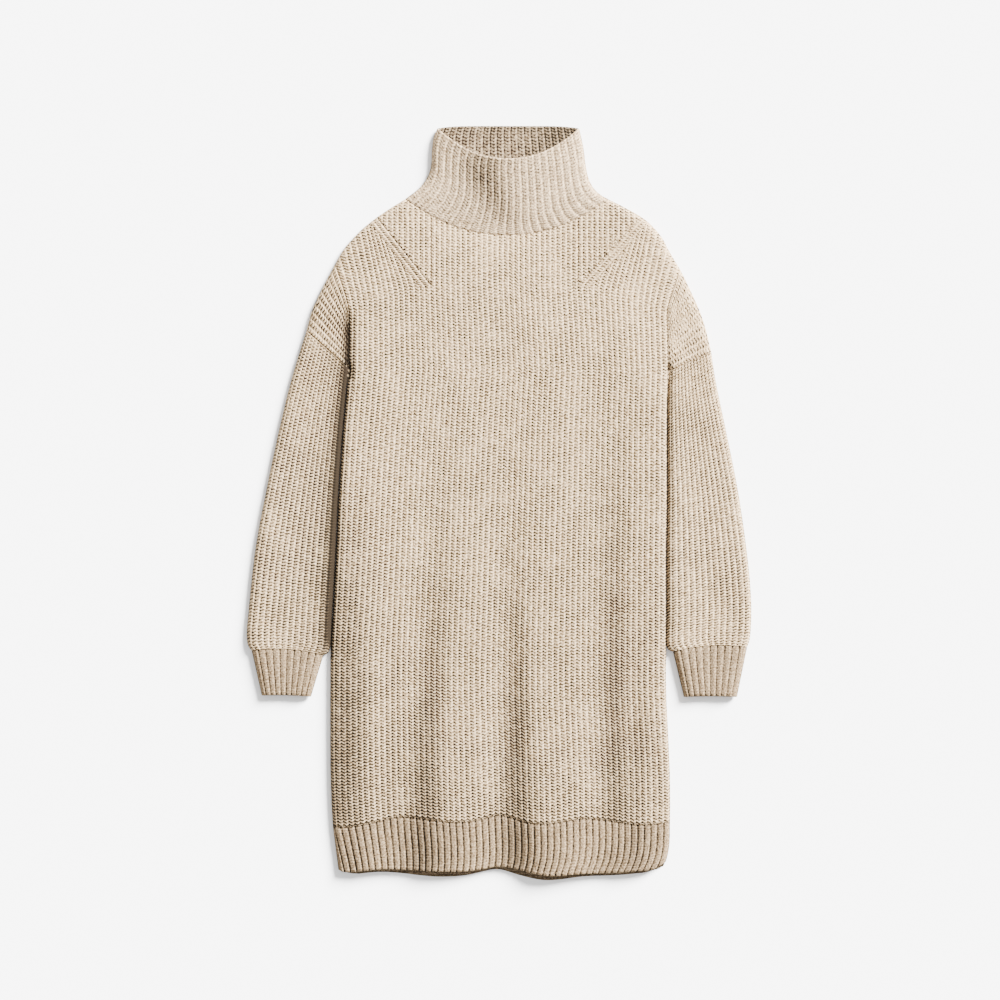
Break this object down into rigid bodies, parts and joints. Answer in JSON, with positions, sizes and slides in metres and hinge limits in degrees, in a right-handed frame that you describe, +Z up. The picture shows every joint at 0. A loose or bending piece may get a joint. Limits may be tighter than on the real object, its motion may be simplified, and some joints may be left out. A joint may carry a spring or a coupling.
{
  "type": "sweater dress",
  "caption": "Chunky ribbed knit sweater dress with a funnel neck, dropped shoulders, long sleeves with ribbed cuffs and a ribbed hem, laid flat.",
  "frame": {"origin": "on the surface the dress lies on, under the middle of its outline", "axes": "+Y from the hem to the neck, +Z up from the surface, +X to the right of the dress as seen from above"},
  "size_m": [0.6544, 0.9725, 0.0232],
  "materials": {
    "body_knit": "oatmeal melange wool, half-cardigan knit with deep valleys between the ribs",
    "rib_knit": "oatmeal melange wool, one by one rib knit"
  },
  "bodies": {
    "root": {"front": "body_knit", "back": "body_knit", "sleeve_left": "body_knit", "sleeve_right": "body_knit", "collar": "rib_knit", "hem_front": "rib_knit", "hem_back": "rib_knit", "cuff_left": "rib_knit", "cuff_right": "rib_knit"}
  },
  "joints": []
}
